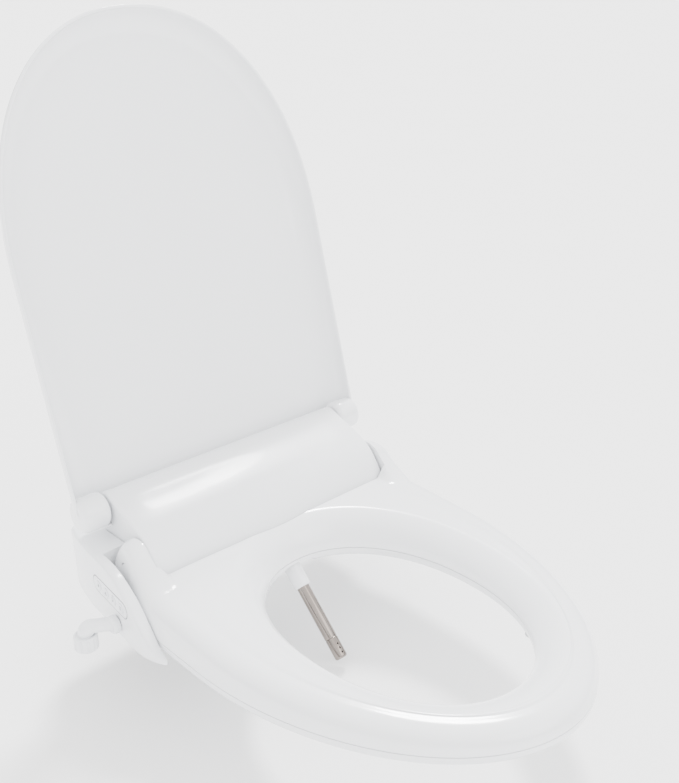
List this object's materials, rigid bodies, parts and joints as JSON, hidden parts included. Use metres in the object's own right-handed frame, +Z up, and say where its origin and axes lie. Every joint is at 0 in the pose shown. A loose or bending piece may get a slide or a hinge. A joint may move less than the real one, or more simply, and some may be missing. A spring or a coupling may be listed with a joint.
{
  "type": "electric bidet seat",
  "caption": "White electric bidet seat with an open dished lid, heated oval seat, rear housing, side control arm with push buttons and an extended steel wash nozzle.",
  "frame": {"origin": "midway between the two bowl bolt slots, on the plane of the bowl rim", "axes": "+Z up, the front of the seat towards -Y, the control arm and water inlet on the -X side"},
  "size_m": [0.4235, 0.6165, 0.6485],
  "materials": {
    "white_shell": "glossy white ABS, fine moulded surface",
    "white_moulding": "satin white moulding",
    "pad_strip": "glossy white strip",
    "button_caps": "glossy pale grey-white caps",
    "steel": "polished stainless steel",
    "steel_pins": "ground steel",
    "rubber_grey": "soft grey rubber",
    "dark_plastic": "black moulding",
    "circuit": "green solder mask",
    "copper_brass": "plain brass",
    "heater_film": "amber polyimide film",
    "motor_steel": "zinc plated can",
    "hose_clear": "silicone hose"
  },
  "bodies": {
    "bracket": {"mounting_plate": "white_moulding"},
    "housing": {"base_tray": "white_moulding", "bolster_cover": "white_shell", "right_end_cap": "white_shell", "housing_screws": "steel_pins", "arm_casing": "white_shell", "arm_base": "white_moulding", "pad_bezel": "pad_strip", "pad_circuit_board": "circuit", "inlet_elbow": "white_moulding", "inlet_filter": "steel_pins", "inlet_pipe": "hose_clear", "solenoid_valve": "dark_plastic", "heater_hose": "hose_clear", "water_heater": "white_moulding", "control_board": "circuit", "power_supply": "dark_plastic", "cord_gland": "dark_plastic", "fan_housing": "dark_plastic", "fan_motor": "motor_steel", "dryer_duct": "dark_plastic", "dryer_coil": "copper_brass", "hinge_bushes": "white_moulding", "nozzle_cradle": "white_moulding", "nozzle_guard": "white_shell", "nozzle_motor": "motor_steel", "lid_damper": "dark_plastic", "seat_damper": "dark_plastic"},
    "lid": {"lid_shell": "white_shell", "lid_hinge_pins": "steel_pins"},
    "seat": {"seat_upper_shell": "white_shell", "seat_lower_shell": "white_shell", "seat_heater": "heater_film", "seat_bumpers": "rubber_grey", "seat_hinge_pins": "steel_pins"},
    "nozzle": {"nozzle_tube": "steel", "nozzle_tip": "steel", "nozzle_carriage": "white_moulding"},
    "screw": {"lead_screw": "steel_pins"},
    "fan": {"fan_impeller": "white_moulding"},
    "inlet_nut": {"union_nut": "white_moulding"},
    "release": {"release_button": "button_caps"},
    "button_stop": {"button_stop": "button_caps"},
    "button_rear_wash": {"button_rear_wash": "button_caps"},
    "button_front_wash": {"button_front_wash": "button_caps"},
    "button_dryer": {"button_dryer": "button_caps"}
  },
  "joints": [
    {"name": "bracket_slide", "type": "slide", "parent": "bracket", "child": "housing", "axis": [0, -1, 0], "range_m": [0, 0.05]},
    {"name": "lid_hinge", "type": "hinge", "parent": "housing", "child": "lid", "pos_m": [0, 0.003, 0.101], "axis": [1, 0, 0], "range_deg": [0, 111.1]},
    {"name": "seat_hinge", "type": "hinge", "parent": "housing", "child": "seat", "pos_m": [0, -0.06, 0.066], "axis": [1, 0, 0], "range_deg": [-98, 0]},
    {"name": "nozzle_slide", "type": "slide", "parent": "housing", "child": "nozzle", "axis": [0, 0.7071, 0.7071], "range_m": [0, 0.085]},
    {"name": "screw_spin", "type": "hinge", "parent": "housing", "child": "screw", "pos_m": [0.017, -0.09093, 0.00593], "axis": [0, 0.7071, 0.7071], "range_deg": [-5, 3065]},
    {"name": "fan_spin", "type": "hinge", "parent": "housing", "child": "fan", "pos_m": [0.075, -0.032, 0.012], "axis": [0, 0, 1], "continuous": true},
    {"name": "inlet_nut_spin", "type": "hinge", "parent": "housing", "child": "inlet_nut", "pos_m": [-0.22329, -0.05557, 0], "axis": [0, 0, 1], "continuous": true},
    {"name": "release_press", "type": "slide", "parent": "housing", "child": "release", "axis": [-1, 0, 0], "range_m": [0, 0.003], "stiffness_N_per_m": 800},
    {"name": "button_stop_press", "type": "slide", "parent": "housing", "child": "button_stop", "axis": [0.995, -0.0995, 0], "range_m": [0, 0.0008], "stiffness_N_per_m": 600},
    {"name": "button_rear_wash_press", "type": "slide", "parent": "housing", "child": "button_rear_wash", "axis": [0.995, -0.0995, 0], "range_m": [0, 0.0008], "stiffness_N_per_m": 600},
    {"name": "button_front_wash_press", "type": "slide", "parent": "housing", "child": "button_front_wash", "axis": [0.995, -0.0995, 0], "range_m": [0, 0.0008], "stiffness_N_per_m": 600},
    {"name": "button_dryer_press", "type": "slide", "parent": "housing", "child": "button_dryer", "axis": [0.995, -0.0995, 0], "range_m": [0, 0.0008], "stiffness_N_per_m": 600}
  ],
  "couplings": [
    {"joint": "screw_spin", "follows": "nozzle_slide", "rad_per_m": 628.32}
  ]
}
